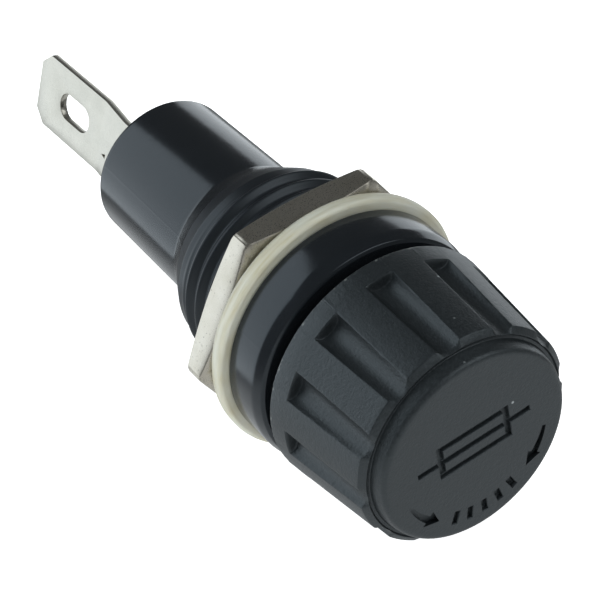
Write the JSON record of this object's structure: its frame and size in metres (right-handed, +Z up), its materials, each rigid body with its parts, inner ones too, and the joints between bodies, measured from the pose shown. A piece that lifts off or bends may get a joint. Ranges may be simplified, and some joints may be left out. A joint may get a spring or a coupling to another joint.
{
  "type": "cartridge fuse holder",
  "caption": "Panel-mount cartridge fuse holder with a fluted push-and-turn cap, threaded bushing, washer, hexagon nut and blade terminals.",
  "frame": {"origin": "centre of the flange's rear face, which seats against the panel", "axes": "+Y along the holder's axis towards the rear blade, so the cap faces -Y; +Z up"},
  "size_m": [0.0166, 0.0428, 0.016],
  "materials": {
    "black_plastic": "glossy moulded black",
    "cap_plastic": "fine matte grain",
    "ivory_plastic": "satin ivory",
    "nut_plating": "bright plated, lightly marked",
    "tin_plate": "satin tin plate",
    "contact_brass": "satin",
    "spring_steel": "drawn wire",
    "rivet_steel": "satin plated",
    "fuse_plating": "bright nickel",
    "fuse_glass": "clear",
    "solder": "dull solder"
  },
  "bodies": {
    "holder": {"holder_body": "black_plastic", "rear_terminal": "tin_plate", "rear_contact_cup": "contact_brass", "rear_spring": "spring_steel", "contact_collar": "contact_brass", "side_terminal": "tin_plate", "terminal_rivet": "rivet_steel"},
    "washer": {"washer": "ivory_plastic"},
    "nut": {"hex_nut": "nut_plating"},
    "plunger": {"rear_plunger": "contact_brass"},
    "cap": {"cap_shell": "cap_plastic", "fuse_carrier": "black_plastic", "cap_contact": "contact_brass", "cap_rivet": "rivet_steel", "fuse_glass": "fuse_glass", "fuse_cap_front": "fuse_plating", "fuse_cap_rear": "fuse_plating", "fuse_element": "solder", "fuse_solder_front": "solder", "fuse_solder_rear": "solder"}
  },
  "joints": [
    {"name": "cap_push", "type": "slide", "parent": "holder", "child": "plunger", "axis": [0, 1, 0], "range_m": [0, 0.0007], "stiffness_N_per_m": 800, "deforming": ["rear_spring"]},
    {"name": "cap_turn", "type": "hinge", "parent": "plunger", "child": "cap", "pos_m": [0, 0, 0], "axis": [0, -1, 0], "range_deg": [0, 45]},
    {"name": "washer_travel", "type": "slide", "parent": "holder", "child": "washer", "axis": [0, 1, 0], "range_m": [0, 0.0038]},
    {"name": "nut_spin", "type": "hinge", "parent": "washer", "child": "nut", "pos_m": [0, 0, 0], "axis": [0, 1, 0], "range_deg": [0, 1370]}
  ],
  "couplings": [
    {"joint": "nut_spin", "follows": "washer_travel", "rad_per_m": 6283.2}
  ]
}
